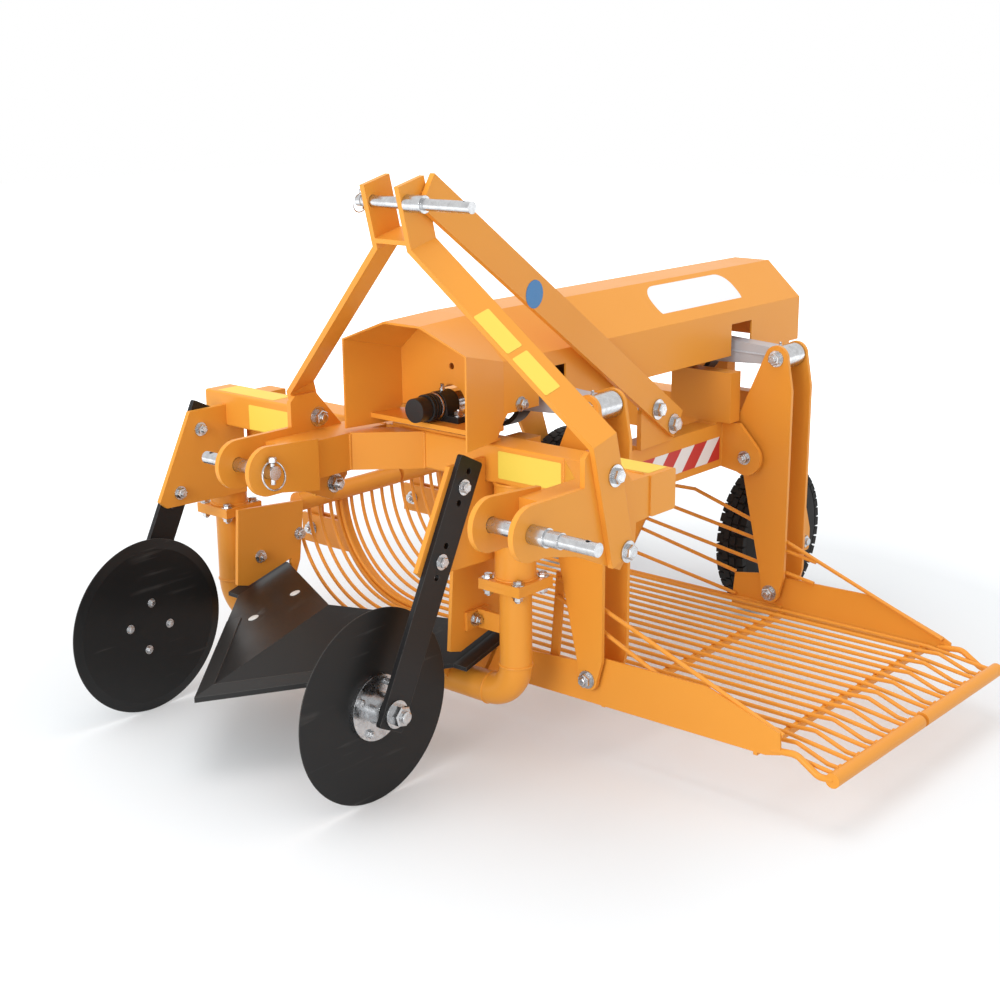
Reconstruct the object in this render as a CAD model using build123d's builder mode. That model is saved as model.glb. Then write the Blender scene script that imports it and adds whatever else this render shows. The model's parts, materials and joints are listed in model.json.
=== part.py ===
# Side-delivery potato harvester for a small tractor. Millimetres. The origin is midway between
# the lower hitch pins, +X is the machine's left (the delivery side), +Y points to the rear, +Z up.
import os
from math import cos, radians, sin

from build123d import *

os.makedirs("parts", exist_ok=True)

# ---- driving sizes -----------------------------------------------------------------------
FLOOR = -578                      # the ground under discs and wheels
TUBE = 70                         # square tube of the headstock
BEAM_Y, BEAM_Z = 300, -40         # front face and underside of the cross beam
BEAM_X = (-790, 344)
EAR_IN, EAR_OUT, PLATE = 251, 331, 10   # hitch ears straddle each hitch tube
PIN_R, SHANK_R, EAR_R = 11, 12.5, 44     # category 1 lower pins, their shanks and ear ends
MAST_LEAN, MAST_TOP = 14.3, 494   # degrees, and height of the mast's front top edge
TOP_PIN_Y, TOP_PIN_Z = 58, 468
HOOD_X, HOOD_HALF = -129, 127     # centre and half width of the drive hood
SHEET = 4
SHAFT_X, SHAFT_Z, SHAFT_R = -126, 84, 17.5
DIG_X, WING = -376, 305           # centre and half width of the digging share
RAIL_X, RAIL_W, RAIL_Z = 348, 50, (-158, -63)  # frame rails, off the digging centre
DISC_R, DISC_X, DISC_Y, DISC_Z = 177.5, 318, 49, -400.5
PIVOT = (55, -131)                # rocker pivot, x and z
ROCK_TOP, ROCK_LOW = (110, 84), (115, -425)
DECK_Z, ROD_R, PITCH, RODS = -460, 4, 32, 10
DECK_Y = PITCH * (RODS - 1) + 30  # one grate along the machine
ROCK_Y = {"front": 431}           # front face of each rocker, with both grates between
ROCK_Y["rear"] = ROCK_Y["front"] + 2 * DECK_Y + 3
REAR_Y = ROCK_Y["rear"] + 250     # rear end of the frame
TAIL_Y = (REAR_Y - 136, REAR_Y - 104)   # rear bearing of the input shaft
HOOD_Y = (212, 336, REAR_Y + 27)  # mouth, front plate and rear
ROCK_GAP, ROCK_T = 84, 8          # over both rocker plates, and one plate
LINK_TOP, LINK_LOW = (-795, -118), (-795, -338)
LINK_Y = {"front": 600, "rear": 931}
GRATE_Y = {"front": (ROCK_Y["front"] + 15, ROCK_Y["front"] + 15 + DECK_Y),
           "rear": (ROCK_Y["rear"] + 23 - DECK_Y, ROCK_Y["rear"] + 23)}
TYRE_R, TYRE_W, WHEEL_X = 175, 75, 296
WHEEL_Y, WHEEL_Z = GRATE_Y["rear"][1] + 292, FLOOR + TYRE_R
RISER_X, RISER_Z = -705, -235     # tube along the top of the curved back
LIP_X, LIP_Z = 620, -481          # tube along the delivery edge
BARS_X = (141, 470)               # cross bars under the rods


# ---- small helpers -----------------------------------------------------------------------
def across(x):
    """Sketch plane at this x; sketch axes are y and z, and extruding goes to +X."""
    return Plane.YZ.offset(x)


def facing(y):
    """Sketch plane at this y; sketch axes are x and z, and extruding goes to the rear."""
    return Plane(origin=(0, y, 0), x_dir=(1, 0, 0), z_dir=(0, -1, 0))


def block(x, y, z, mode=Mode.ADD):
    with Locations(((x[0] + x[1]) / 2, (y[0] + y[1]) / 2, (z[0] + z[1]) / 2)):
        Box(abs(x[1] - x[0]), abs(y[1] - y[0]), abs(z[1] - z[0]), mode=mode)


def plate(plane, points, thick, holes=(), corner=0.0, lugs=(), mode=Mode.ADD):
    """A flat plate cut to an outline with rounded corners; lugs are round ends and holes are
    cut through it, both as (u, v, radius)."""
    with BuildSketch(plane) as flat:
        with BuildLine():
            Polyline(*points, close=True)
        make_face()
        if corner:
            fillet(flat.vertices(), corner)
        for u, v, r in lugs:
            with Locations((u, v)):
                Circle(r)
        for u, v, r in holes:
            with Locations((u, v)):
                Circle(r, mode=Mode.SUBTRACT)
    extrude(flat.sketch, amount=thick, mode=mode)


def round_bar(start, end, radius, mode=Mode.ADD):
    start, end = Vector(*start), Vector(*end)
    with BuildSketch(Plane(origin=start, z_dir=end - start)) as disc:
        Circle(radius)
    extrude(disc.sketch, amount=(end - start).length, mode=mode)


def turned(profile, place, sign, name):
    """Revolve (x, radius) points round X, mirrored for the machine's right, and write it."""
    with BuildPart() as piece:
        with BuildSketch(Plane.XY) as half:
            with BuildLine():
                Polyline(*profile, close=True)
            make_face()
        revolve(half.sketch, axis=Axis.X)
    piece = (piece.part if sign > 0 else piece.part.mirror(Plane.YZ)).moved(Location(place))
    piece.label = name
    export_step(piece, f"parts/{name}.step")


def beside(side, sign):
    """x at this distance to the left (+1) or right (-1) of the digging centre."""
    return DIG_X + sign * side


def save(piece, name):
    piece.part.label = name
    export_step(piece.part, f"parts/{name}.step")


SIDES = {"left": 1, "right": -1}

# ---- headstock ---------------------------------------------------------------------------
with BuildPart() as cross_beam:
    block(BEAM_X, (BEAM_Y, BEAM_Y + TUBE), (BEAM_Z, BEAM_Z + TUBE))
    fillet(cross_beam.edges().filter_by(Axis.X), 5)
save(cross_beam, "cross_beam")

with BuildPart() as hitch:
    for s in SIDES.values():
        block((s * (EAR_IN + PLATE), s * EAR_OUT), (65, BEAM_Y), (BEAM_Z, BEAM_Z + TUBE))
        plate(across(s * EAR_OUT if s > 0 else -EAR_OUT - PLATE),
              [(0, -EAR_R), (0, EAR_R), (128, EAR_R), (128, 90), (140, 100), (190, 100), (252, 30),
               (BEAM_Y, 30), (BEAM_Y, -40), (264, -42), (262, -70), (222, -112), (110, -62),
               (30, -EAR_R)], PLATE, holes=[(0, 0, SHANK_R + 0.5)], lugs=[(0, 0, EAR_R)])
        plate(across(EAR_IN if s > 0 else -EAR_IN - PLATE),
              [(0, -EAR_R), (0, EAR_R), (119, 36), (119, -59), (30, -EAR_R)],
              PLATE, holes=[(0, 0, SHANK_R + 0.5)], lugs=[(0, 0, EAR_R)])
        plate(Plane.XY.offset(BEAM_Z),
              [(s * 261, 206), (s * 261, 262), (s * 219, BEAM_Y), (s * 163, BEAM_Y)], TUBE)
save(hitch, "hitch_brackets")

with BuildPart() as lower_pins:
    round_bar((232, 0, 0), (341.5, 0, 0), SHANK_R)
    round_bar((341.5, 0, 0), (372, 0, 0), 15.5)
    round_bar((372, 0, 0), (398, 0, 0), 13)
    round_bar((398, 0, 0), (466, 0, 0), PIN_R)
    round_bar((-344, 0, 0), (-232, 0, 0), SHANK_R)
    round_bar((-418, 0, 0), (-344, 0, 0), PIN_R)
    for x in (448, -402):
        round_bar((x, 0, -20), (x, 0, 20), 5, mode=Mode.SUBTRACT)
save(lower_pins, "lower_pins")

# ---- mast --------------------------------------------------------------------------------
# Both legs are flat bar bent in one plane that leans back; its front face is drawn here.
lean = radians(MAST_LEAN)
mast_plane = Plane(origin=(0, 38, MAST_TOP), x_dir=(1, 0, 0), z_dir=(0, -cos(lean), -sin(lean)))


def down(z):
    """Distance along the leaning plane from the mast's top to this height."""
    return -(MAST_TOP - z) / cos(lean)


with BuildPart() as mast_legs:
    for s in SIDES.values():
        plate(mast_plane,
              [(s * 33, 0), (s * 43, 0), (s * 43, down(395)), (s * 351, down(107)),
               (s * 351, down(-100)), (s * 341, down(-100)), (s * 341, down(103)),
               (s * 33, down(391))], -60)
        round_bar((s * 20, TOP_PIN_Y, TOP_PIN_Z), (s * 60, TOP_PIN_Y, TOP_PIN_Z), 10,
                  mode=Mode.SUBTRACT)
    plate(mast_plane, [(-34, down(401)), (34, down(401)), (34, down(409)), (-34, down(409))],
          -60)
save(mast_legs, "mast_legs")

with BuildPart() as top_pin:
    round_bar((-66, TOP_PIN_Y, TOP_PIN_Z), (178, TOP_PIN_Y, TOP_PIN_Z), 9.5)
    round_bar((43.5, TOP_PIN_Y, TOP_PIN_Z), (80, TOP_PIN_Y, TOP_PIN_Z), 14)
    round_bar((164, TOP_PIN_Y, TOP_PIN_Z - 20), (164, TOP_PIN_Y, TOP_PIN_Z + 20), 4,
              mode=Mode.SUBTRACT)
save(top_pin, "top_pin")

# The brace runs from the mast's left ear down to a bracket on the left frame rail.
brace_top, brace_end = Vector(44.5, 112, 473), Vector(4, 853, -26)
brace_run = brace_end - brace_top
brace_plane = Plane(origin=brace_top, x_dir=brace_run, z_dir=(brace_run.Y, -brace_run.X, 0))
with BuildPart() as mast_brace:
    plate(brace_plane, [(-25, -30), (-25, 30), (brace_run.length + 7, 30),
                        (brace_run.length + 7, -30)], 10)
    block((43, 46.5), (90, 100), (462, 484))      # pad against the mast's leg
save(mast_brace, "mast_brace")

# ---- frame rails, cross member and pivot ears ----------------------------------------------
with BuildPart() as rear_frame:
    for s in SIDES.values():
        x = beside(RAIL_X, s)
        block((x - RAIL_W / 2, x + RAIL_W / 2), (BEAM_Y + TUBE, REAR_Y), RAIL_Z)
        block((x - RAIL_W / 2, x + RAIL_W / 2), (BEAM_Y + TUBE, 440), (RAIL_Z[1], 20))
    block((beside(RAIL_X, -1), beside(RAIL_X, 1)), (REAR_Y - TUBE, REAR_Y), RAIL_Z)
save(rear_frame, "rear_frame")

with BuildPart() as pivot_ears:
    for y in ROCK_Y.values():
        for back in (-22, ROCK_GAP + 12):
            plate(facing(y + back),
                  [(-3, -60), (40, -60), (82, -104), (66, -169), (-3, -158)], -10,
                  holes=[(*PIVOT, 8.3)], lugs=[(*PIVOT, 38)])
save(pivot_ears, "pivot_ears")

with BuildPart() as link_ears:
    for y in LINK_Y.values():
        for back in (-16, 8):
            plate(facing(y + back), [(-749, -70), (-749, -150), (-820, -150), (-820, -86),
                                     (-804, -70)], -8, holes=[(*LINK_TOP, 8.3)], corner=10)
save(link_ears, "link_ears")

with BuildPart() as hood_supports:
    block((HOOD_X - 120, HOOD_X + 120), (305, 335), (30, 34.8))
    block((-120, 30), (ROCK_Y["rear"] - 44, ROCK_Y["rear"] - 7), (-57, 50))
    block((-53, -3), (ROCK_Y["rear"] - 44, ROCK_Y["rear"] - 7), (-63, 50))
    block((SHAFT_X - 45, SHAFT_X + 45), TAIL_Y, (-63, 40))
    block((SHAFT_X - 45, -3), TAIL_Y, (-63, -20))
    for x in (HOOD_X - HOOD_HALF, HOOD_X + HOOD_HALF - 30):
        block((x, x + 30), (REAR_Y - 60, REAR_Y - 10), (RAIL_Z[1], 77))
    bracket_plane = Plane(origin=(brace_top.X, brace_top.Y, 0),
                          x_dir=(brace_run.X, brace_run.Y, 0), z_dir=brace_plane.z_dir)
    plate(bracket_plane, [(624, -63), (744, -63), (744, -5), (689, 40), (641, 36), (624, 10)],
          -10)
    block((-44, 3), (735, 855), (-63, -55))
save(hood_supports, "hood_supports")

# ---- drive hood: folded sheet, open below --------------------------------------------------
def hood_outline(half, shoulder, top, low, t=0.0):
    """Hood cross section as x, z points; t moves it in by the sheet's thickness."""
    half -= t
    return [(HOOD_X - half, low), (HOOD_X - half, shoulder - 0.4 * t),
            (HOOD_X - 44 + 0.4 * t, top - t), (HOOD_X + 44 - 0.4 * t, top - t),
            (HOOD_X + half, shoulder - 0.4 * t), (HOOD_X + half, low)]


def section(y, points):
    with BuildSketch(facing(y)) as sketch:
        with BuildLine():
            Polyline(*points, close=True)
        make_face()
    return sketch.sketch


def panel(plane, centre, wide, high):
    with BuildSketch(plane) as sketch:
        with Locations(centre):
            Rectangle(wide, high)
    return sketch.sketch


with BuildPart() as hood:
    plate(facing(HOOD_Y[1]), hood_outline(HOOD_HALF, 172, 247, 35), HOOD_Y[1] - HOOD_Y[2])
    loft([section(HOOD_Y[0], hood_outline(HOOD_HALF + 24, 201, 242, 35)),
          section(HOOD_Y[1], hood_outline(HOOD_HALF, 172, 247, 35))], ruled=True)
    plate(facing(HOOD_Y[1] + SHEET), hood_outline(HOOD_HALF, 172, 247, 0, SHEET),
          HOOD_Y[1] - HOOD_Y[2] + 2 * SHEET, mode=Mode.SUBTRACT)
    with BuildPart(mode=Mode.PRIVATE) as mouth:
        loft([section(HOOD_Y[0], hood_outline(HOOD_HALF + 24, 201, 242, 0, SHEET)),
              section(HOOD_Y[1], hood_outline(HOOD_HALF, 172, 247, 0, SHEET))], ruled=True)
    add(mouth.part, mode=Mode.SUBTRACT)
    plate(across(HOOD_X - 200), [(311, 0), (311, 35), (346, 77), (REAR_Y + 80, 77),
                                 (REAR_Y + 80, 0)], 400,
          mode=Mode.SUBTRACT)
    for y in ROCK_Y.values():   # windows for the two pitman arms
        block((HOOD_X + 100, HOOD_X + 160), (y + 3, y + 81), (60, 144), mode=Mode.SUBTRACT)
    round_bar((SHAFT_X, 300, SHAFT_Z), (SHAFT_X, 345, SHAFT_Z), 32, mode=Mode.SUBTRACT)
    round_bar((SHAFT_X, 300, 150), (SHAFT_X, 345, 150), 6, mode=Mode.SUBTRACT)
    # the bearing's shelf, welded into the mouth
    plate(Plane.XY.offset(48), [(HOOD_X - HOOD_HALF - 11, 266), (HOOD_X + HOOD_HALF + 11, 266),
                                (HOOD_X + HOOD_HALF - 2, 338), (HOOD_X - HOOD_HALF + 2, 338)], 9)
save(hood, "hood")

with BuildPart() as shaft_bearings:
    round_bar((SHAFT_X, 292, SHAFT_Z), (SHAFT_X, 328, SHAFT_Z), 26)
    block((SHAFT_X - 52, SHAFT_X + 52), (294, 326), (57, 68))
    block((SHAFT_X - 26, SHAFT_X + 26), (294, 326), (60, 84))
    block((SHAFT_X - 30, SHAFT_X + 30), TAIL_Y, (40, 84))
    round_bar((SHAFT_X, TAIL_Y[0], SHAFT_Z), (SHAFT_X, TAIL_Y[1], SHAFT_Z), 30)
    round_bar((SHAFT_X, 280, SHAFT_Z), (SHAFT_X, TAIL_Y[1] + 4, SHAFT_Z), SHAFT_R + 0.3,
              mode=Mode.SUBTRACT)
save(shaft_bearings, "shaft_bearings")

# ---- input shaft with its two eccentrics ---------------------------------------------------
THROW = 11
with BuildPart() as pto_shaft:
    round_bar((SHAFT_X, 262, SHAFT_Z), (SHAFT_X, TAIL_Y[1] + 9, SHAFT_Z), SHAFT_R)
    for y, s in zip(ROCK_Y.values(), (1, -1)):
        round_bar((SHAFT_X, y + 26, SHAFT_Z + s * THROW),
                  (SHAFT_X, y + 58, SHAFT_Z + s * THROW), 29)
save(pto_shaft, "pto_shaft")

with BuildPart() as shaft_tube:
    for near, far in ((ROCK_Y["front"] + 70, ROCK_Y["rear"] + 16),
                      (ROCK_Y["rear"] + 70, TAIL_Y[0] - 4)):
        round_bar((SHAFT_X, near, SHAFT_Z), (SHAFT_X, far, SHAFT_Z), 27)
    round_bar((SHAFT_X, 262, SHAFT_Z), (SHAFT_X, TAIL_Y[1], SHAFT_Z), SHAFT_R,
              mode=Mode.SUBTRACT)
save(shaft_tube, "shaft_tubes")

with BuildPart() as shaft_cap:
    round_bar((SHAFT_X, 236, SHAFT_Z), (SHAFT_X, 284, SHAFT_Z), 22)
    for y in (264, 271, 278):
        round_bar((SHAFT_X, y, SHAFT_Z), (SHAFT_X, y + 4, SHAFT_Z), 25)
    round_bar((SHAFT_X, 262, SHAFT_Z), (SHAFT_X, 290, SHAFT_Z), SHAFT_R, mode=Mode.SUBTRACT)
save(shaft_cap, "shaft_cap")

# ---- rockers and pitman arms ---------------------------------------------------------------
ROCKER = [(137, 84), (84, 92), (8, -83), (10, -136), (39, -170), (92, -400), (94, -425),
          (137, -425), (148, -385), (149, 20)]
for end, y in ROCK_Y.items():
    with BuildPart() as rocker:
        for front in (y, y + ROCK_GAP - ROCK_T):
            plate(facing(front), ROCKER, -ROCK_T, corner=3,
                  lugs=[(*ROCK_TOP, 27), (*ROCK_LOW, 22)])
        round_bar((*PIVOT[:1], y + ROCK_T, PIVOT[1]), (PIVOT[0], y + ROCK_GAP - ROCK_T, PIVOT[1]), 19)
        round_bar((PIVOT[0], y - 34, PIVOT[1]), (PIVOT[0], y + ROCK_GAP + 30, PIVOT[1]), 8)
        round_bar((ROCK_TOP[0], y - 12, ROCK_TOP[1]),
                  (ROCK_TOP[0], y + ROCK_GAP + 12, ROCK_TOP[1]), 10)
        round_bar((ROCK_LOW[0], y - 12, ROCK_LOW[1]),
                  (ROCK_LOW[0], y + ROCK_GAP + 12, ROCK_LOW[1]), 8)
    save(rocker, f"rocker_{end}")

    with BuildPart() as pitman:
        top, shaft = ROCK_TOP, (SHAFT_X, SHAFT_Z)
        round_bar((top[0], y + 11, top[1]), (top[0], y + 73, top[1]), 24)
        loft([panel(across(top[0] - 8), (y + 42, top[1]), 44, 34),
              panel(across(shaft[0] + 62), (y + 42, shaft[1]), 34, 54)], ruled=True)
        round_bar((top[0], y, top[1]), (top[0], y + 90, top[1]), 10.3, mode=Mode.SUBTRACT)
        round_bar((shaft[0], y, shaft[1]), (shaft[0], y + 90, shaft[1]), 67, mode=Mode.SUBTRACT)
    save(pitman, f"pitman_{end}")

    with BuildPart() as strap:
        round_bar((shaft[0], y + 24, shaft[1]), (shaft[0], y + 60, shaft[1]), 67)
        round_bar((shaft[0], y, shaft[1]), (shaft[0], y + 90, shaft[1]), 58, mode=Mode.SUBTRACT)
    save(strap, f"eccentric_strap_{end}")

# ---- hangers on the closed side --------------------------------------------------------------
for end, y in LINK_Y.items():
    with BuildPart() as hanger:
        plate(facing(y - 3), [(LINK_TOP[0] - 22, LINK_TOP[1] + 20), (LINK_TOP[0] + 22, LINK_TOP[1] + 20),
                              (LINK_LOW[0] + 22, LINK_LOW[1] - 20), (LINK_LOW[0] - 22, LINK_LOW[1] - 20)],
              -6, holes=[(*LINK_LOW, 9.6)], corner=12)
        round_bar((LINK_TOP[0], y - 24, LINK_TOP[1]), (LINK_TOP[0], y + 24, LINK_TOP[1]), 8)
    save(hanger, f"hanger_{end}")

# ---- sieving grates ----------------------------------------------------------------------------
ARC = RISER_Z - 5 - DECK_Z        # radius of the curved back
for end, (near, far) in GRATE_Y.items():
    outer = near if end == "front" else far       # the edge with the side wall
    inward = 1 if end == "front" else -1
    rows = [outer + inward * (18 + PITCH * n) for n in range(RODS)]
    with BuildPart() as rods:
        for n, y in enumerate(rows):
            with BuildLine(facing(y)) as path:
                a = (RISER_X, RISER_Z)
                b = (RISER_X, DECK_Z + ARC)
                c = (RISER_X + ARC, DECK_Z)
                Line(a, b)
                CenterArc((c[0], b[1]), ARC, 180, 90)
                d = (BARS_X[1] + 12, DECK_Z)
                Line(c, d)
                if n % 2:
                    FilletPolyline(d, (d[0] + 40, DECK_Z + 3), (LIP_X - 36, LIP_Z + 2),
                                   (LIP_X, LIP_Z), radius=20)
                else:
                    Line(d, (LIP_X, LIP_Z + 4))
            with BuildSketch(Plane(origin=(RISER_X, y, RISER_Z), z_dir=(0, 0, -1))) as ring:
                Circle(ROD_R)
            sweep(ring.sketch, path=path.line, transition=Transition.ROUND)
        round_bar((RISER_X, near - 5, RISER_Z), (RISER_X, far + 5, RISER_Z), 21, mode=Mode.SUBTRACT)
        round_bar((LIP_X, near - 5, LIP_Z), (LIP_X, far + 5, LIP_Z), 13.5, mode=Mode.SUBTRACT)
    save(rods, f"grate_rods_{end}")

    with BuildPart() as grate:
        round_bar((RISER_X, max(near, 462), RISER_Z), (RISER_X, far, RISER_Z), 21)
        round_bar((LIP_X, near, LIP_Z), (LIP_X, far, LIP_Z), 13.5)
        for x in BARS_X:
            block((x - 4, x + 4), (near, far), (DECK_Z - 18, DECK_Z - ROD_R))
        wall = outer if inward > 0 else outer - 4
        if end == "front":
            side = [(-180, -420), (92, -400), (139, -382), (365, -378), (517, -425), (520, -464),
                    (490, -472), (-180, -480)]
        else:
            side = [(9, -480), (16, -404), (78, -393), (352, -386), (505, -439), (524, -448),
                    (524, -466), (490, -474)]
        plate(facing(wall), side, -4)
        low_x, low_z = ROCK_LOW
        round_bar((low_x, wall, low_z), (low_x, ROCK_Y[end] + ROCK_GAP - 14, low_z), 15)
        round_bar((low_x, wall, low_z), (low_x, ROCK_Y[end] + ROCK_GAP, low_z), 8.3,
                  mode=Mode.SUBTRACT)
        band = LINK_Y[end]
        with BuildSketch(facing(band - 17)) as curved:
            with BuildLine():
                r0, r1 = ARC + ROD_R + 0.02, ARC + ROD_R + 7
                o = (RISER_X + ARC, DECK_Z + ARC)
                CenterArc(o, r0, 180, 90)
                CenterArc(o, r1, 180, 90)
                Line((o[0] - r0, o[1]), (o[0] - r1, o[1]))
                Line((o[0], o[1] - r0), (o[0], o[1] - r1))
            make_face()
        extrude(curved.sketch, amount=-34)
        for back in (-16, 8):
            plate(facing(band + back), [(-826, -306), (-826, -372), (-673, -372), (-704, -306)],
                  -8)
        round_bar((LINK_LOW[0], band - 24, LINK_LOW[1]), (LINK_LOW[0], band + 24, LINK_LOW[1]), 8)
        y = outer + inward * 5
        round_bar((RISER_X + ARC, y, DECK_Z), (BARS_X[0] - 4, y, DECK_Z), 5)
        with BuildLine(facing(y)) as edge:
            FilletPolyline((500, -461), (548, -456), (592, -484), (LIP_X, LIP_Z), radius=25)
        with BuildSketch(Plane(origin=edge.line @ 0, z_dir=edge.line % 0)) as ring:
            Circle(6)
        sweep(ring.sketch, path=edge.line)
    save(grate, f"grate_frame_{end}")

# Fence rods beside the deck, each through its x, z points, on a post at their left-hand end.
FENCE = {
    "rear": [[(-184, -234), (-92, -232), (51, -274), (508, -443)],
             [(-205, -274), (58, -314), (216, -340)], [(-228, -322), (70, -366), (213, -387)],
             [(-241, -348), (20, -399)], [(-264, -407), (22, -450)]],
    "front": [[(30, -251), (520, -430)], [(26, -287), (258, -386)]],
}
FENCE_POST = {"rear": ((-180, -222), (-290, -452)), "front": ((30, -240), (12, -452))}
for end, runs in FENCE.items():
    y = GRATE_Y[end][0] + 4 if end == "front" else GRATE_Y[end][1] - 4
    back = ROD_R if end == "front" else -ROD_R
    with BuildPart() as fence:
        for run in runs:
            for a, b in zip(run, run[1:]):
                round_bar((a[0], y + back, a[1]), (b[0], y + back, b[1]), ROD_R)
        (x0, z0), (x1, z1) = FENCE_POST[end]
        plate(facing(y + 2 * back - (0 if end == "front" else 5)),
              [(x0 - 10, z0), (x0 + 10, z0), (x1 + 10, z1), (x1 - 10, z1)], -5)
    save(fence, f"fence_{end}")

# ---- share and its side plates -------------------------------------------------------------
# Each wing is one flat sheet through these corners, as distance from the centre, y and z, with
# a level flange along its outer edge and a hard strip welded along the leading edge.
APEX, NOSE, SPINE, HEEL_Y = Vector(0, -94, -426), Vector(WING, 268, -391), Vector(0, 243, -337), 409
BLADE, FLANGE, STRIP = 8, 32, 2
slope = (NOSE - APEX).cross(SPINE - APEX)


def on_wing(dx, y):
    """Height of the wing's top at this distance from the centre."""
    return APEX.Z - (slope.X * dx + slope.Y * (y - APEX.Y)) / slope.Z


def sheet(corners, sign, thick):
    """A plate under (or over) the corners, given from the digging centre."""
    outline = [Vector(beside(dx, sign), y, z) for dx, y, z in corners]
    extrude(Face(Wire.make_polygon(outline)), amount=abs(thick),
            dir=(0, 0, -1 if thick > 0 else 1))


with BuildPart() as share:
    for s in SIDES.values():
        heel = (WING, HEEL_Y, on_wing(WING, HEEL_Y))
        nose = (NOSE.X, NOSE.Y, NOSE.Z)
        sheet([(0, APEX.Y, APEX.Z), nose, heel, (0, SPINE.Y, SPINE.Z)], s, BLADE)
        sheet([nose, heel, (WING + FLANGE, HEEL_Y, heel[2]), (WING + FLANGE, NOSE.Y, NOSE.Z)],
              s, BLADE)
        strip = [(0, -94), (216, 162.4), (193, 181.7), (0, -47.4)]
        sheet([(dx, y, on_wing(dx, y)) for dx, y in strip], s, -STRIP)
save(share, "share")

with BuildPart() as cheeks:
    for s in SIDES.values():
        x = beside(300, s)
        plate(across(x - 4), [(273, -206), (261, -366), (290, -374), (411, -343), (411, -373),
                              (365.2, -432), (365.2, -468), (385, -468), (436, -352),
                              (452, -223)], 8)
save(cheeks, "share_cheeks")

# ---- legs, flanges and the pipe under the share -------------------------------------------
LEG_X, LEG_Y, FLANGE_Z, PIPE_Z = 400, 335, -229, -450
with BuildPart() as legs:
    for s in SIDES.values():
        x = beside(LEG_X, s)
        round_bar((x, LEG_Y, BEAM_Z), (x, LEG_Y, FLANGE_Z + 10), 38)
        block((x - 48, x + 48), (LEG_Y - 48, LEG_Y + 48), (FLANGE_Z, FLANGE_Z + 10))
save(legs, "digger_legs")

with BuildPart() as u_pipe:
    with BuildLine() as route:
        FilletPolyline((beside(LEG_X, -1), LEG_Y, FLANGE_Z - 10), (beside(LEG_X, -1), LEG_Y, PIPE_Z),
                       (beside(LEG_X, 1), LEG_Y, PIPE_Z), (beside(LEG_X, 1), LEG_Y, FLANGE_Z - 10),
                       radius=62)
    with BuildSketch(Plane(origin=route.line @ 0, z_dir=route.line % 0)) as bore:
        Circle(30)
    sweep(bore.sketch, path=route.line)
    for s in (1, -1):
        x = beside(LEG_X, s)
        block((x - 48, x + 48), (LEG_Y - 48, LEG_Y + 48), (FLANGE_Z - 10, FLANGE_Z))
        # the angle that holds the cheek
        block((beside(304, s), beside(310, s)), (302, 362), (-336, -300))
        block((beside(310, s), beside(374, s)), (332, 338), (-336, -300))
save(u_pipe, "u_pipe")


with BuildPart() as share_brackets:
    for s in (1, -1):
        for dx, ys in ((250, (290, 372)), (165, (285, 325))):
            top = [(y, on_wing(dx + 4, y) - BLADE) for y in ys]
            plate(across(beside(dx, s) - 4),
                  [*top, (ys[1], -440), (ys[0] + 20, -450), (ys[0], -420)], 8)
    round_bar((beside(300, -1), LEG_Y, PIPE_Z), (beside(300, 1), LEG_Y, PIPE_Z), 30.02,
              mode=Mode.SUBTRACT)
save(share_brackets, "share_brackets")

# ---- discs on their arms ---------------------------------------------------------------------
with BuildPart() as disc_brackets:
    for x in (beside(351, 1), beside(351, -1) - PLATE):
        plate(across(x), [(BEAM_Y - 93, 5), (BEAM_Y, 5), (BEAM_Y, BEAM_Z),
                          (BEAM_Y + 45, BEAM_Z), (BEAM_Y + 45, -190), (BEAM_Y - 163, -182),
                          (BEAM_Y - 180, -167)], PLATE)
save(disc_brackets, "disc_brackets")

with BuildPart() as disc_arms:
    for s in SIDES.values():
        x = beside(361 if s > 0 else 371, s)
        top = (x, 254.5, 12)
        run = Vector(x, DISC_Y, DISC_Z) - Vector(*top)
        arm_plane = Plane(origin=top, x_dir=run, z_dir=(1, 0, 0))
        plate(arm_plane, [(0, -30), (0, 30), (run.length + 30, 30), (run.length + 30, -30)],
              10, holes=[(d, 0, 6) for d in (23, 81, 159, 217)], corner=5)
        round_bar((beside(DISC_X + 5, s), DISC_Y, DISC_Z), (beside(383, s), DISC_Y, DISC_Z), 10)
save(disc_arms, "disc_arms")

# The disc is ground thin from its inner face; its hub is bolted to the outer one.
for side, s in SIDES.items():
    place = (beside(DISC_X, s), DISC_Y, DISC_Z)
    turned([(-2.5, 0), (2.5, 0), (2.5, DISC_R), (1, DISC_R), (-2.5, DISC_R - 20)], place, s,
           f"disc_{side}")
    turned([(2.5, 0), (4, 0), (4, 10.3), (38, 10.3), (38, 28), (11, 29), (10, 60), (2.5, 60)],
           place, s, f"disc_hub_{side}")

# ---- rear wheels -----------------------------------------------------------------------------
with BuildPart() as wheel_arms:
    for s in SIDES.values():
        x_arm = beside(RAIL_X + RAIL_W / 2, s)
        plate(across(x_arm if s > 0 else x_arm - 10),
              [(REAR_Y - 80, -70), (REAR_Y - 8, -70), (WHEEL_Y + 40, WHEEL_Z + 20),
               (WHEEL_Y + 40, WHEEL_Z - 30), (WHEEL_Y - 40, WHEEL_Z - 30),
               (WHEEL_Y - 40, WHEEL_Z + 60), (REAR_Y - 80, -155)], 10, corner=8)
        round_bar((beside(WHEEL_X - 30, s), WHEEL_Y, WHEEL_Z),
                  (x_arm + s * 22, WHEEL_Y, WHEEL_Z), 10)
save(wheel_arms, "wheel_arms")

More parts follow.
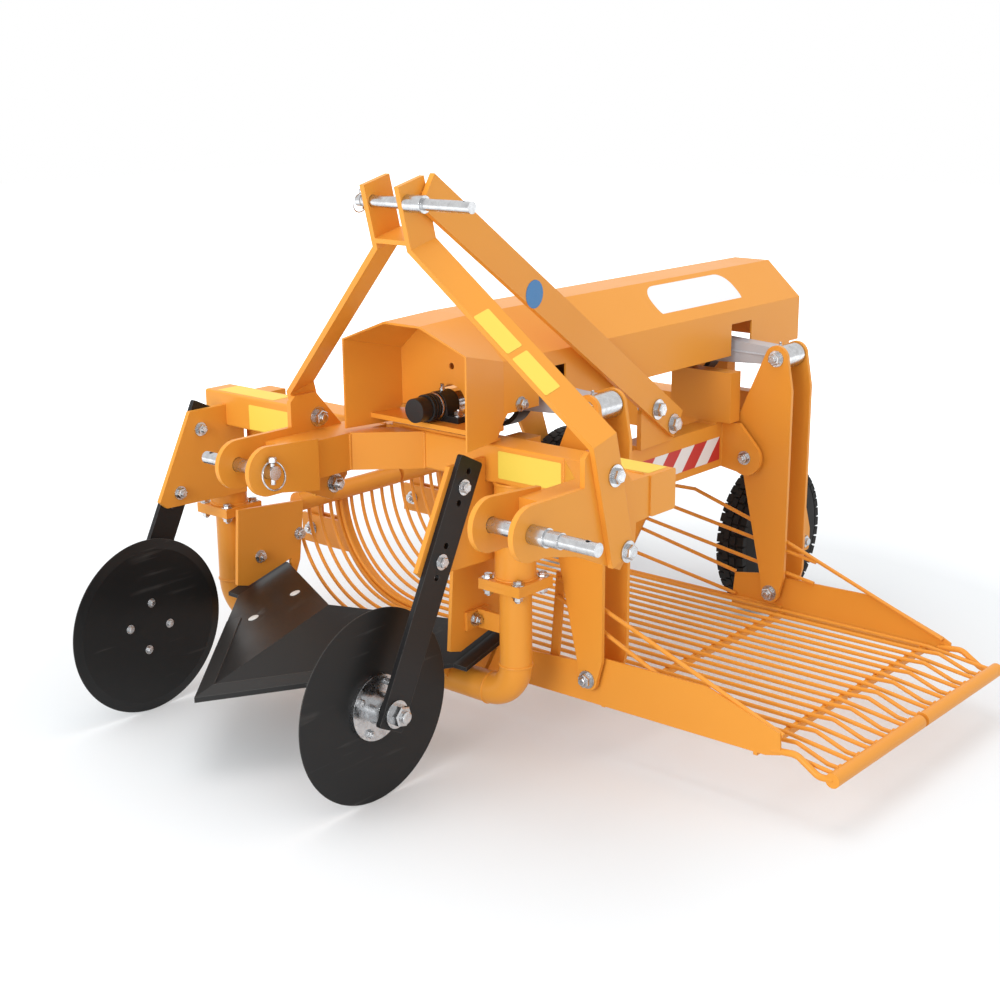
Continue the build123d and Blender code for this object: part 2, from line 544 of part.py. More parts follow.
for side, s in SIDES.items():
    place = (beside(WHEEL_X, s), WHEEL_Y, WHEEL_Z)
    turned([(-30, 10.3), (-30, 24), (-8, 24), (-8, 88), (-34, 92), (-34, 100), (34, 100),
            (34, 92), (8, 88), (8, 24), (44, 24), (44, 10.3)], place, s, f"wheel_rim_{side}")
    wide = TYRE_W / 2
    turned([(-wide + 3.5, 100), (-wide, 112), (-wide, 150), (-24, TYRE_R - 4), (0, TYRE_R),
            (24, TYRE_R - 4), (wide, 150), (wide, 112), (wide - 3.5, 100)], place, s,
           f"tyre_{side}")
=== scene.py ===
# %% [markdown]
# # Dressing a potato harvester
# The machine hangs behind a small tractor. Two discs cut the ridge, the pointed share lifts
# it, and two shaken grates of rods let the soil fall through and move the potatoes to one
# side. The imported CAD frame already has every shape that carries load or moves, so this
# notebook dresses it: paint, zinc, rubber, fasteners, welds, tyre tread and blank plates.
# Its box is noted first, because the dress has to stay inside it.

# %% Start
import json
import math
import random

import bpy
from mathutils import Matrix, Vector


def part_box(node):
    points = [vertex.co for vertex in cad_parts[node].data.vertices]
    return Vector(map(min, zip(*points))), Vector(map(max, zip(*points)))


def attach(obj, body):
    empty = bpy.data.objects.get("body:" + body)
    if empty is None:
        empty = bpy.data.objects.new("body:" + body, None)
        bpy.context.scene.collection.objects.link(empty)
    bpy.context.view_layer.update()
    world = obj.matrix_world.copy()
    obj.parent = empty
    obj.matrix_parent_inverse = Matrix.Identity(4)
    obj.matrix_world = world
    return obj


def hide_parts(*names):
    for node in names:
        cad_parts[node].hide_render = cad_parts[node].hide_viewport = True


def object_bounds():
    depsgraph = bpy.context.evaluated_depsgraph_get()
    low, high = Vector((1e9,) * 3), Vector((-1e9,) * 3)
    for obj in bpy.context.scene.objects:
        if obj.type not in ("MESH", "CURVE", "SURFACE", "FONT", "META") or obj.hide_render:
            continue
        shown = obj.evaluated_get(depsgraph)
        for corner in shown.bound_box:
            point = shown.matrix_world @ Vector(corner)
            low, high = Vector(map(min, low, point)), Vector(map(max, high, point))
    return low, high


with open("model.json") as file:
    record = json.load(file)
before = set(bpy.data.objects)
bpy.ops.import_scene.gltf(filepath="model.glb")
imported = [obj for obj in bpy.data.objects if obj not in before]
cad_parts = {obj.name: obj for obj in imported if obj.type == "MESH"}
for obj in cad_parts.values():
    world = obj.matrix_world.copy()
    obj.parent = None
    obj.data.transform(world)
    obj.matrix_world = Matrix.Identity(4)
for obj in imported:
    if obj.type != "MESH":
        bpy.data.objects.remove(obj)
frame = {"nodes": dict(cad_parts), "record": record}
cad_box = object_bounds()
nodes, record = frame["nodes"], frame["record"]
random.seed(7)
print("CAD nodes:", len(nodes))

# %% [markdown]
# The frame's own places could be measured from its meshes each time they are needed. Naming
# the few that place most pieces keeps the code short and lets a reader see what each piece
# follows. All are in millimetres, like the part's source, and become metres in the meshes.

# %% Driving sizes
MM = 0.001
X, Y, Z = Vector((1, 0, 0)), Vector((0, 1, 0)), Vector((0, 0, 1))
BEAM_Y, BEAM_Z, BEAM_TOP = 300, -40, 30       # cross beam
DIG_X = -376                                  # centre of the digging parts
RAIL_FACE, RAIL_TOP = -3, -63                 # outer face and top of the left rail
SHAFT_X, SHAFT_Z = -126, 84                   # input shaft
ROCKERS = {"front": 431, "rear": 1070}        # front face of each rocker
ROCKER_GAP = 84                               # over both its plates
PIVOT_X, PIVOT_Z = 55, -131                   # a rocker's pivot on the rail
ARM_X, ARM_Z = 110, 84                        # its pin in the pitman arm
FOOT_X, FOOT_Z = 115, -425                    # its pin in the grate
HANGERS = {"front": 600, "rear": 931}         # middle of each hanger
HANGER_X, HANGER_TOP, HANGER_LOW = -795, -118, -338
DISC_X, DISC_Y, DISC_Z = 318, 49, -400.5      # disc centre, x from the digging centre
LEG_X, LEG_Y = 400, 335                       # digger legs, x from the digging centre
FLANGE_LOW, FLANGE_TOP = -239, -219           # faces of the flanges on the legs


def at(x, y, z):
    return Vector((x, y, z))


def beside(distance, side):
    """x at this distance to the machine's left (+1) or right (-1) of the digging centre."""
    return DIG_X + side * distance


print("rail's outer face at x =", RAIL_FACE, "mm, pivots at z =", PIVOT_Z, "mm")

# %% [markdown]
# ## Materials
# A node tree can be drawn by hand, but in code it soon becomes a long list of links. Shader
# nodes read best as arithmetic, so a small class wraps one output socket and makes a Math node
# for each operator. Colours mix through a Mix node, because a Math node would turn them grey,
# and any other node comes from one method.

# %% A socket with operators
class Sock:
    """One output socket of a node, with arithmetic."""

    def __init__(self, tree, socket):
        self.tree, self.socket = tree, socket

    def node(self, kind, inputs=(), out=0, **settings):
        """Any node: its settings first, then the value or link of each named input."""
        made = self.tree.nodes.new(kind)
        for key, value in settings.items():
            setattr(made, key, value)
        for slot, value in inputs:
            if isinstance(value, Sock):
                self.tree.links.new(value.socket, made.inputs[slot])
            else:
                made.inputs[slot].default_value = value
        return Sock(self.tree, made.outputs[out])

    def math(self, operation, *others):
        return self.node("ShaderNodeMath", enumerate((self, *others)), operation=operation)

    def __add__(self, other):
        return self.math("ADD", other)

    def __mul__(self, other):
        return self.math("MULTIPLY", other)

    def __sub__(self, other):
        return self.math("SUBTRACT", other)

    def __truediv__(self, other):
        return self.math("DIVIDE", other)

    def __rsub__(self, other):
        return (self * -1.0) + other

    def __gt__(self, other):
        return self.math("GREATER_THAN", other)

    def clamp(self):
        return self.node("ShaderNodeClamp", [("Value", self)])

    def mix(self, here, there):
        """The colour `here` where this is 0, and `there` where it is 1."""
        colours = [(slot, value if isinstance(value, Sock) else (*value, 1.0))
                   for slot, value in ((6, here), (7, there))]
        return self.node("ShaderNodeMix", [(0, self), *colours], out=2, data_type="RGBA")


print("operators ready")

# %% [markdown]
# A finish is one Principled shader. A constant sits on the shader's own socket, and a
# pattern is linked to it. Patterns are taken in object space, so no mesh has to be unwrapped
# and nothing repeats. Real edges are never knife sharp: bevelling every mesh would be heavy,
# so the Bevel node rounds only the shading there. Comparing it with the flat normal gives a
# mask for worn edges at no further cost.

# %% A finish
class Finish:
    """A material: its shader's sockets by name, and the patterns that feed them."""
    EDGE_RISE = 6.0                           # how fast the edge mask grows as normals part

    def __init__(self, name, **constants):
        self.material = bpy.data.materials.new(name)
        self.material.use_nodes = True
        self.tree = self.material.node_tree
        self.shader = self.tree.nodes["Principled BSDF"]
        for key, value in constants.items():
            self[key.replace("_", " ")] = value
        place = self.tree.nodes.new("ShaderNodeTexCoord")
        self.place = Sock(self.tree, place.outputs["Object"])

    def __setitem__(self, key, value):
        if isinstance(value, Sock):
            self.tree.links.new(value.socket, self.shader.inputs[key])
        else:
            self.shader.inputs[key].default_value = value

    def noise(self, scale, detail=3.0):
        return self.place.node("ShaderNodeTexNoise", [("Vector", self.place), ("Scale", scale),
                                                      ("Detail", detail)])

    def soft_normal(self, radius):
        return self.place.node("ShaderNodeBevel", [("Radius", radius)], samples=6)

    def edges(self, radius):
        """1 where the surface turns a corner within this radius, in metres."""
        flat = self.place.node("ShaderNodeNewGeometry", out=1)
        turn = self.place.node("ShaderNodeVectorMath", [(0, self.soft_normal(radius)), (1, flat)],
                               out=1, operation="DOT_PRODUCT")
        return ((1.0 - turn) * self.EDGE_RISE).clamp()

    def relief(self, height, strength, distance, radius=0.0012):
        self["Normal"] = self.place.node(
            "ShaderNodeBump", [("Strength", strength), ("Distance", distance),
                               ("Height", height), ("Normal", self.soft_normal(radius))])


print("finish ready")

# %% [markdown]
# ### Paint
# The frame is sprayed gloss orange over welded steel, so its colour drifts a little and its
# skin has orange peel. The arms and straps are satin black, and chips along their edges show
# steel. A painted image would suit one size only, so slow noise gives the drift, fine
# noise the peel, and the edge mask times a middle noise the chips. The blank plates are paint
# too, only flatter.

# %% Painted finishes
CHIP_WIDE, CHIP_FROM, CHIP_DEPTH = 0.0015, 0.36, 0.7   # reach from an edge, threshold, share


def painted(name, colour, deep, gloss, coat, chip=None, shine=0.5):
    """Paint that drifts from colour to deep; chip is the colour of worn edges."""
    paint = Finish(name, Specular_IOR_Level=shine, Coat_Roughness=0.15)
    shade = paint.noise(3.0, 2.0).mix(colour, deep)
    if chip:
        worn = ((paint.edges(CHIP_WIDE) * paint.noise(60.0, 4.0)) > CHIP_FROM) * CHIP_DEPTH
        shade = worn.mix(shade, chip)
    paint["Base Color"] = shade
    paint["Roughness"] = paint.noise(9.0) * 0.12 + gloss
    paint["Coat Weight"] = coat
    paint.relief(paint.noise(260.0, 2.0), 0.10, 0.0004)
    return paint.material


orange = painted("orange_paint", (0.79, 0.325, 0.041), (0.75, 0.292, 0.035), 0.32, 0.05,
                 shine=0.24)
black = painted("black_paint", (0.008, 0.008, 0.0085), (0.014, 0.0135, 0.014), 0.36, 0.03,
                chip=(0.13, 0.12, 0.115), shine=0.26)
grey = painted("grey_paint", (0.50, 0.53, 0.57), (0.43, 0.45, 0.49), 0.34, 0.2)
blue = painted("blue_rim", (0.02, 0.12, 0.42), (0.015, 0.09, 0.34), 0.35, 0.3)
yellow_label = painted("yellow_label", (0.84, 0.62, 0.08), (0.81, 0.59, 0.07), 0.45, 0.0)
white_label = painted("white_label", (0.84, 0.84, 0.85), (0.80, 0.80, 0.81), 0.35, 0.1)
blue_label = painted("blue_label", (0.02, 0.19, 0.45), (0.02, 0.16, 0.40), 0.35, 0.1)
print("paints:", len(bpy.data.materials))

# %% [markdown]
# ### Scoured steel
# Soil scours the discs and the share as they work. Scratches could be modelled or painted one
# by one. Here noise stretched along Y, the direction of travel, gives them all at once, and a
# second noise lets them come and go. The share's hard strip is rubbed paler: its mask is the
# distance behind the leading edge, mirrored about the digging centre, which is just
# arithmetic on the point's coordinates.

# %% Scoured black
TRAVEL = (40, 5, 70)                          # low along Y, so the streaks are long there
TIP_Y = -0.094                                # the share's point
EDGE_X, EDGE_Y = 0.644, 0.765                 # run of its leading edge, as a unit vector
STRIP_WIDE, STRIP_REACH, STRIP_PALE = 0.030, 0.205, 0.2


def scoured(name, strip=False):
    """Black steel with bright streaks; strip adds the share's rubbed edge."""
    steel = Finish(name, Specular_IOR_Level=0.26)
    stretched = steel.place.node("ShaderNodeVectorMath", [(0, steel.place), (1, TRAVEL)],
                                 operation="MULTIPLY")
    streaks = steel.place.node("ShaderNodeTexNoise", [("Vector", stretched), ("Scale", 1.0),
                                                      ("Detail", 5.0)])
    marks = ((streaks - 0.60) * 6.0).clamp() * ((steel.noise(7.0) - 0.45) * 5.0).clamp()
    rubbed = steel.noise(5.0).mix((0.008, 0.008, 0.0085), (0.015, 0.0145, 0.014))
    if strip:
        y = steel.place.node("ShaderNodeSeparateXYZ", [("Vector", steel.place)], out=1)
        x = Sock(steel.tree, y.socket.node.outputs["X"])
        off = (x - DIG_X * MM).math("ABSOLUTE")
        behind = (y - TIP_Y) * EDGE_X - off * EDGE_Y
        pale = (1.0 - (behind > STRIP_WIDE)) * (1.0 - (off > STRIP_REACH)) * STRIP_PALE
        rubbed = pale.mix(rubbed, (0.07, 0.068, 0.066))
    worn = (steel.edges(0.002) * 0.6 + marks * 0.65).clamp()
    steel["Base Color"] = worn.mix(rubbed, (0.11, 0.105, 0.10))
    steel["Roughness"] = steel.noise(9.0) * 0.16 + marks * 0.15 + 0.28
    steel.relief(steel.noise(240.0, 2.0), 0.08, 0.0004)
    return steel.material


disc_black, share_black = scoured("scoured_disc"), scoured("scoured_share", strip=True)
print("scoured finishes ready")

# %% [markdown]
# ### Zinc, rubber and plastic
# Bolts and pins are zinc plated, a bright metal whose spangle shows as patches of tone and
# roughness, so one noise with more contrast drives both. Rubber is matt with a dusty drift.
# The shaft's protective cap is a moulded plastic, whose grain is too fine for mesh and is
# bump.

# %% Zinc, rubber, plastic
zinc = Finish("zinc_plate", Metallic=1.0)
spangle = ((zinc.noise(110.0, 4.0) - 0.5) * 1.8 + 0.5).clamp()
zinc["Base Color"] = spangle.mix((0.68, 0.69, 0.70), (0.46, 0.46, 0.47))
zinc["Roughness"] = spangle * 0.20 + 0.14
zinc.relief(zinc.noise(300.0, 2.0), 0.10, 0.0003, radius=0.0006)

rubber = Finish("tyre_rubber", Specular_IOR_Level=0.25)
dust = rubber.noise(22.0, 5.0)
rubber["Base Color"] = dust.mix((0.007, 0.007, 0.007), (0.019, 0.018, 0.0175))
rubber["Roughness"] = dust * 0.2 + 0.6
rubber.relief(rubber.noise(420.0, 3.0), 0.35, 0.0006)

plastic = Finish("black_plastic", Specular_IOR_Level=0.4)
grain = plastic.noise(500.0, 2.0)
plastic["Base Color"] = grain.mix((0.008, 0.008, 0.009), (0.014, 0.014, 0.015))
plastic["Roughness"] = grain * 0.1 + 0.36
plastic.relief(grain, 0.2, 0.0003)
print("metal, rubber and plastic ready")

# %% [markdown]
# ### Warning stripes
# The red and white bars lean to the rear as they rise. They could be a row of thin slabs, but
# one formula stays sharp at any distance and has no seams: the height is taken from the length
# along the plate, and the fraction of the result over one pitch says which colour shows.

# %% Stripes
STRIPE_PITCH, STRIPE_LEAN, STRIPE_START = 0.094, 0.91, 1.932   # m, m back for each m up, m
stripes = Finish("red_white_stripes", Specular_IOR_Level=0.5)
along = stripes.place.node("ShaderNodeSeparateXYZ", [("Vector", stripes.place)], out=1)
height = Sock(stripes.tree, along.socket.node.outputs["Z"])
step = ((along - height * STRIPE_LEAN + STRIPE_START) / STRIPE_PITCH).math("FRACT")
stripes["Base Color"] = (step > 0.5).mix((0.82, 0.82, 0.82), (0.55, 0.03, 0.03))
stripes["Roughness"] = stripes.noise(30.0) * 0.1 + 0.35
print("stripes every", STRIPE_PITCH, "m")

# %% [markdown]
# The record gives each CAD node a slot, so one table from slot to finish dresses the whole
# frame. The discs and the share are of the same black paint as the arms but have worked in
# soil, and a second table puts their scoured finish first.

# %% Dress the nodes
SCOURED = {"disc_left": disc_black, "disc_right": disc_black, "share": share_black}
FINISHES = {"orange_paint": orange, "black_paint": black, "zinc_plate": zinc.material,
            "grey_paint": grey, "black_plastic": plastic.material,
            "tyre_rubber": rubber.material, "blue_rim": blue}
for row in record["subparts"]:
    mesh = nodes[row["node"]].data
    mesh.materials.clear()
    mesh.materials.append(SCOURED.get(row["node"], FINISHES[row["material_slot"]]))
print("dressed:", len(record["subparts"]), "nodes")

# %% [markdown]
# ## A kit for small pieces
# Bolts, pins, rings and beads are turned shapes: a profile of (distance, radius) pairs swept
# round an axis, where six sides give a hexagon. Blender's cylinders and booleans could make
# them too, one object each. Writing the vertices directly keeps hundreds of them light, leaves
# no hidden cuts, and lets like pieces on one body share a mesh.

# %% Mesh kit
class Kit:
    """Points in millimetres and their faces, gathered until they become one mesh."""
    SHARP_FROM = 35                           # degrees; softer turns are shaded smooth

    def __init__(self):
        self.points, self.faces = [], []

    def turned(self, place, axis, profile, sides=24, phase=0.0, capped=True):
        """A profile of (distance, radius) pairs swept round the axis."""
        side = axis.orthogonal().normalized()
        up = axis.cross(side)
        first = len(self.points)
        for along, radius in profile:
            for n in range(sides):
                a = 2 * math.pi * (n + phase) / sides
                out = side * math.cos(a) + up * math.sin(a)
                self.points.append(place + axis * along + out * radius)
        for row in range(len(profile) - 1):
            for n in range(sides):
                a, b = first + row * sides + n, first + row * sides + (n + 1) % sides
                self.faces.append((a, b, b + sides, a + sides))
        if capped:
            last = first + (len(profile) - 1) * sides
            self.faces.append(tuple(range(first + sides - 1, first - 1, -1)))
            self.faces.append(tuple(range(last, last + sides)))

    def ring(self, place, axis, radius, wire, steps=40, sides=8):
        """A round wire bent into a full circle about the axis."""
        side = axis.orthogonal().normalized()
        up = axis.cross(side)
        first = len(self.points)
        for n in range(steps):
            a = 2 * math.pi * n / steps
            out = side * math.cos(a) + up * math.sin(a)
            for k in range(sides):
                b = 2 * math.pi * k / sides
                self.points.append(place + out * (radius + wire * math.cos(b))
                                   + axis * (wire * math.sin(b)))
        for n in range(steps):
            for k in range(sides):
                near, far = first + n * sides, first + (n + 1) % steps * sides
                self.faces.append((near + k, near + (k + 1) % sides, far + (k + 1) % sides,
                                   far + k))

    def slab(self, outline, thick):
        """An outline of points, thickened by a vector."""
        first, n = len(self.points), len(outline)
        self.points += [*outline, *(p + thick for p in outline)]
        self.faces.append(tuple(first + k for k in range(n - 1, -1, -1)))
        self.faces.append(tuple(first + n + k for k in range(n)))
        for k in range(n):
            j = (k + 1) % n
            self.faces.append((first + k, first + j, first + n + j, first + n + k))

    def build(self, name, material, body, slot):
        """Make the object, which rides on its body."""
        data = bpy.data.meshes.new(name)
        data.from_pydata([tuple(p * MM) for p in self.points], [], self.faces)
        data.materials.append(material)
        data.shade_smooth()
        data.set_sharp_from_angle(angle=math.radians(self.SHARP_FROM))
        piece = bpy.data.objects.new(name, data)
        bpy.context.scene.collection.objects.link(piece)
        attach(piece, body)
        return piece


print("kit ready")

# %% [markdown]
# ## Bolts and nuts
# Every bolt here goes through two plates, so one row gives both of its ends: the head, and
# the nut with the thread standing out of it. The thread is a plain stub, since its pitch is
# too fine to see. Hexagons are turned at random, as a fitter leaves them, from one seed, so
# each run gives the same machine.

# %% One fastener end
WASHER_WIDE, WASHER_THICK = 1.15, 0.17        # radius and thickness, as shares of the size
HEAD_WIDE, HEAD_TALL = 0.80, 0.62
NUT_WIDE, NUT_TALL = 0.88, 0.8


def bolt_end(kit, place, axis, size, nut):
    """A washer, then a hexagon head with a low dome, or a nut with its thread.
    The size is the thread's diameter."""
    across = size * (NUT_WIDE if nut else HEAD_WIDE)
    washer, height = size * WASHER_THICK, size * (NUT_TALL if nut else HEAD_TALL)
    kit.turned(place, axis, [(0, size * WASHER_WIDE), (washer, size * WASHER_WIDE)])
    top = washer + height
    corner = top - size * 0.1
    kit.turned(place, axis, [(washer, across), (corner, across), (top, across * 0.86)], 6,
               phase=random.random())
    if nut:
        thread = size * 0.5
        kit.turned(place, axis, [(top - 1, thread), (top + size * 0.25, thread),
                                 (top + size * 0.32, size * 0.4)], 16)
    else:
        kit.turned(place, axis, [(top - 1, across * 0.62), (top + 0.5, across * 0.58)])


def fasten(body, axis, head, nut, points, size):
    """Bolts along an axis with heads at one station and nuts at another, at these points."""
    kit = fasteners.setdefault(body, Kit())
    outward = axis if head > nut else -axis
    for point in points:
        bolt_end(kit, point + axis * head, outward, size, False)
        bolt_end(kit, point + axis * nut, -outward, size, True)


fasteners = {}
print("bolt ends ready")

# %% [markdown]
# Bolts across the machine hold the mast, its brace, the disc arms and the share's cheeks.
# They come in mirrored pairs, so a loop over both sides places them. The brace runs askew, and
# its two bolts need its own directions: along it, out of its face, and up its width.

# %% Bolts along X
MAST_HEAD, MAST_NUT = 351, 331                # from the middle of the hitch
MAST_BOLTS = [at(0, 193, 53), at(0, 228, -80)]
ARM_HEAD, ARM_NUT = 371, 351                  # from the digging centre, like the cheeks'
ARM_BOLTS = [at(0, 231.3, -34.5), at(0, 170.7, -156.3)]
CHEEK_FACE = 296
CHEEK_BOLTS = ((310, 325, -318), (304, 436, -293))   # x of the lug's face, y, z
for side in (1, -1):
    fasten("frame", X, side * MAST_HEAD, side * MAST_NUT, MAST_BOLTS, 16)
    fasten("frame", X, beside(ARM_HEAD, side), beside(ARM_NUT, side), ARM_BOLTS, 12.5)
    for lug, y, z in CHEEK_BOLTS:
        low, high = sorted((beside(CHEEK_FACE, side), beside(lug, side)))
        fasten("frame", X, low, high, [at(0, y, z)], 12)
HOOD_RIGHT, HOOD_LEFT = -256, -2              # outer faces of its walls
fasten("frame", X, HOOD_RIGHT, HOOD_LEFT, [at(0, 382, 89)], 12)
BRACE_TOP, BRACE_END = at(44.5, 112, 473), at(4, 853, -26)
brace = (BRACE_END - BRACE_TOP).normalized()
brace_out = at(BRACE_END.y - BRACE_TOP.y, BRACE_TOP.x - BRACE_END.x, 0).normalized()
brace_up = brace_out.cross(brace)
BRACE_FACE, BRACE_LOW = 10, 7.7               # half its thickness; its middle under the line
for back in (12, 84):
    spot = BRACE_END - brace * back - brace_up * BRACE_LOW
    bolt_end(fasteners["frame"], spot + brace_out * BRACE_FACE, brace_out, 18, False)
    bolt_end(fasteners["frame"], spot - brace_out * BRACE_FACE, -brace_out, 18, True)
print("bodies with bolts:", list(fasteners))

# %% [markdown]
# Upright bolts close the leg flanges, heads up, and hold the shaft's bearing, nuts up. A
# flange has one at each corner, which two short loops give more plainly than a list of eight
# places.

# %% Bolts along Z
FLANGE_BOLT = 35                              # from the leg's middle, both ways
SHELF_LOW, FOOT_TOP = 48, 68                  # under the shelf, on the foot of the bearing
BEARING_Y, BEARING_BOLT = 310, 40             # its bolts, from the shaft both ways
for side in (1, -1):
    corners = [at(beside(LEG_X, side) + dx, LEG_Y + dy, 0)
               for dx in (-FLANGE_BOLT, FLANGE_BOLT) for dy in (-FLANGE_BOLT, FLANGE_BOLT)]
    fasten("frame", Z, FLANGE_TOP, FLANGE_LOW, corners, 10.5)
fasten("frame", Z, SHELF_LOW, FOOT_TOP,
       [at(SHAFT_X + dx, BEARING_Y, 0) for dx in (-BEARING_BOLT, BEARING_BOLT)], 10)
print("flange bolts at", FLANGE_BOLT, "mm")

# %% [markdown]
# The linkage turns on pins along the machine's length. Each has to move with the plates it
# goes through, so a rocker's pins ride on the rocker, and the bolts of a hanger and of a grate
# each on their own body. The nuts cover the ends of the pins that stand out of the plates.

# %% Bolts along Y
PIVOT_OUT, HANGER_OUT = 22, 16                # pin beyond the plates; half a hanger's pin
for end, y in ROCKERS.items():
    body = f"rocker_{end}"
    fasten(body, Y, y + ROCKER_GAP, y, [at(ARM_X, 0, ARM_Z), at(FOOT_X, 0, FOOT_Z)], 15)
    fasten(body, Y, y + ROCKER_GAP + PIVOT_OUT, y - PIVOT_OUT, [at(PIVOT_X, 0, PIVOT_Z)], 13)
for end, y in HANGERS.items():
    front, back = y - HANGER_OUT, y + HANGER_OUT
    fasten(f"hanger_{end}", Y, back, front, [at(HANGER_X, 0, HANGER_TOP)], 14)
    fasten(f"grate_{end}", Y, back, front, [at(HANGER_X, 0, HANGER_LOW)], 14)
print("pins dressed:", 3 * len(ROCKERS) + 2 * len(HANGERS))

# %% [markdown]
# Four bolts hold each disc to its hub, and one large nut holds each axle. The four are set
# out on a circle and turn with the disc, so their start angle is only a matter of how it came
# to rest. The axle nuts stay with the frame. Then each body's fasteners become one mesh.

# %% Discs and axles
HUB_CIRCLE = 48                               # radius of the circle of four bolts
DISC_INNER, HUB_OUTER = DISC_X - 2.5, DISC_X + 10
DISC_AXLE, WHEEL_AXLE = 371, 383              # ends of the axles, from the digging centre
for name, side, turn in (("left", 1, 62), ("right", -1, -8)):   # turn of the disc in degrees
    ring = []
    for k in range(4):
        a = math.radians(turn + 90 * k)
        ring.append(at(0, DISC_Y + HUB_CIRCLE * math.cos(a), DISC_Z + HUB_CIRCLE * math.sin(a)))
    fasten(f"disc_{name}", X, beside(DISC_INNER, side), beside(HUB_OUTER, side), ring, 8)
    bolt_end(fasteners["frame"], at(beside(DISC_AXLE, side), DISC_Y, DISC_Z), X * side, 22, True)
    low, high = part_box(f"wheel_rim_{name}")
    hub = (low + high) / 2 / MM
    bolt_end(fasteners["frame"], at(beside(WHEEL_AXLE, side), hub.y, hub.z), X * side, 17, True)
for body, kit in fasteners.items():
    kit.build(f"bolts_{body}", zinc.material, body, "zinc_plate")
print("bolt meshes:", len(fasteners))

# %% [markdown]
# Plough bolts hold the share: flat round heads sunk in the wing, so soil slides over them.
# Laying them flat and tilting them by eye would leave gaps. The wing is a plane through three
# corners, and its normal gives each head both its height and its tilt.

# %% Share bolts
# three corners of the left wing, x from the digging centre
APEX, NOSE, SPINE = at(0, -94, -426), at(305, 268, -391), at(0, 243, -337)
wing = (NOSE - APEX).cross(SPINE - APEX).normalized()
pale_zinc = painted("pale_zinc", (0.72, 0.71, 0.68), (0.60, 0.59, 0.57), 0.42, 0.0)
PLOUGH_BOLTS = ((157, 183), (142, 282))       # x from the digging centre, y
DISH = [(0, 11), (1.9, 11), (2.6, 9.6)]       # the head's profile
SQUARE = [(1.5, 4.4), (2.0, 4.0)]             # the neck's end, seen in the head
plough = Kit()
for side in (1, -1):
    for dx, y in PLOUGH_BOLTS:
        z = APEX.z - (wing.x * dx + wing.y * (y - APEX.y)) / wing.z
        normal = at(wing.x * side, wing.y, wing.z)
        head = at(beside(dx, side), y, z)
        plough.turned(head - normal, normal, DISH, 28)
        plough.turned(head, normal, SQUARE, 4)
plough.build("share_bolts", pale_zinc, "frame", "zinc_plate")
print("share bolts placed")

# %% [markdown]
# A lynch pin goes through the end of each hitch pin, and its spring ring snaps over it.

# %% Lynch pins
PIN_ENDS = ((240, 0, 0, -1, 1.0), (-240, 0, 0, 1, 1.0), (-58, 58, 468, -1, 0.65))
clips = Kit()
for x, y, z, side, size in PIN_ENDS:          # the cross hole, the ring's side, the size
    end = at(x, y, z)
    clips.turned(end + Z * 19 * size, -Z, [(0, 5 * size), (40 * size, 5 * size)], 16)
    clips.turned(end + Z * 28 * size, -Z, [(0, 6 * size), (2, 8.5 * size), (9 * size, 8.5 * size),
                                           (11 * size, 6 * size)], 20)
    tilt = (X + Z * 0.25 * side).normalized()
    clips.ring(end + X * side * 3 - Z * 5 * size, tilt, 25 * size, 1.8 * size)
clips.build("lynch_pins", zinc.material, "frame", "zinc_plate")
print("lynch pins placed")

# %% [markdown]
# ## Blank plates
# The machine carries its maker's and safety plates where they can be seen from the tractor.
# Here they are bare. A patch of colour in the paint would need a mask for each, so each is a
# thin slab with rounded corners laid on the steel, which also catches light along its edge.

# %% Sticker helper
def rounded(centre, u, v, wide, high, radius, steps=5):
    """A rectangle with rounded corners, across the unit vectors u and v."""
    points = []
    for su, sv, start in ((1, 1, 0), (-1, 1, 90), (-1, -1, 180), (1, -1, 270)):
        for k in range(steps + 1):
            a = math.radians(start + 90 * k / steps)
            points.append(centre + u * (su * (wide / 2 - radius) + radius * math.cos(a))
                          + v * (sv * (high / 2 - radius) + radius * math.sin(a)))
    return points


def stickers(name, material, outlines):
    """Slabs half a millimetre thick, one for each outline and the way it faces."""
    kit = Kit()
    for outline, normal in outlines:
        kit.slab(outline, normal * 0.5)
    return kit.build(name, material, "frame", "orange_paint")


print("sticker helper ready")

# %% [markdown]
# Safety plates sit on the front and the top of the beam and on the left leg of the mast. The
# leg leans and its plates follow it: the leg's own run and depth are their directions, and
# their cross product says which way they face.

# %% Yellow plates
LEG_LEAN, LEG_HEAD_Y, LEG_HEAD_Z = 14.3, 38, 494   # degrees from upright, front edge on top
LEG_DEEP = 39
lean = math.radians(LEG_LEAN)
bend, foot = (at(x, LEG_HEAD_Y + math.tan(lean) * (LEG_HEAD_Z - z), z)
              for x, z in ((43, 395), (351, 107)))
run = (foot - bend).normalized()
depth = at(0, math.cos(lean), math.sin(lean))
leg_face = run.cross(depth).normalized()
CORNER = 3
BEAM_PLATES = ((at(-579, BEAM_Y, -11), Z, 150, 51, -Y), (at(86, BEAM_Y, -4), Z, 142, 50, -Y),
               (at(272, 336, BEAM_TOP), Y, 120, 54, Z),
               (at(-674, BEAM_Y + 35, BEAM_TOP), Y, 172, 54, Z))
LEG_PLATES = ((147, 228), (238, 317))         # their ends, along the leg from its bend
yellow = [(rounded(centre, X, up, wide, high, CORNER), facing)
          for centre, up, wide, high, facing in BEAM_PLATES]
for start, end in LEG_PLATES:
    middle = bend + run * (start + end) / 2 + depth * LEG_DEEP / 2
    yellow.append((rounded(middle, run, depth, end - start, 37, CORNER), leg_face))
stickers("yellow_plates", yellow_label, yellow)
print("yellow plates:", len(yellow))

# %% [markdown]
# The white plate lies on the sloping side of the hood, the round blue one on the brace, and
# the striped one on the rail's outer face. Each is placed from the edge of the face that
# carries it, so it lies flat on the slope without any turning by hand.

